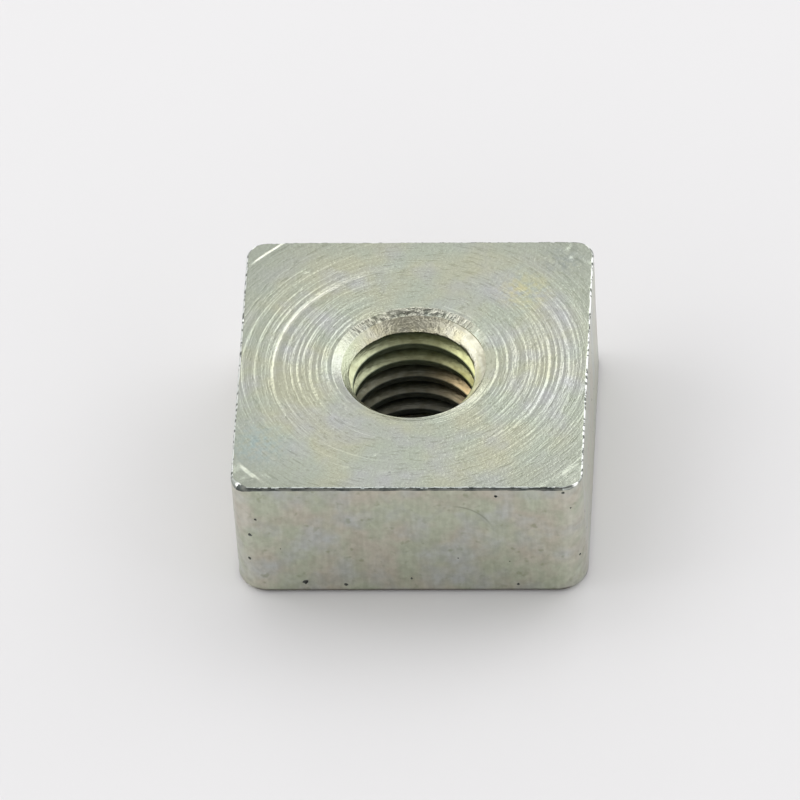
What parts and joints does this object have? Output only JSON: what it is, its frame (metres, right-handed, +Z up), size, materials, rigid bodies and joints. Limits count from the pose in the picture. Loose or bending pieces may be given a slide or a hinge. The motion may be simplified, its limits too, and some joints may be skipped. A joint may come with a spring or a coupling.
{
  "type": "t slot nut",
  "caption": "Plain square steel nut for a T slot, with rounded corners and a countersunk through thread.",
  "frame": {"origin": "centre of the lower face, on the thread's axis", "axes": "+Z up along the thread, towards the turned face; +X and +Y square to the sides"},
  "size_m": [0.019, 0.019, 0.008],
  "materials": {
    "zinc_plated_steel": "thin pale zinc plating with a faint yellow-green passivation, over turned and sawn steel"
  },
  "bodies": {
    "root": {"square_nut": "zinc_plated_steel"}
  },
  "joints": []
}
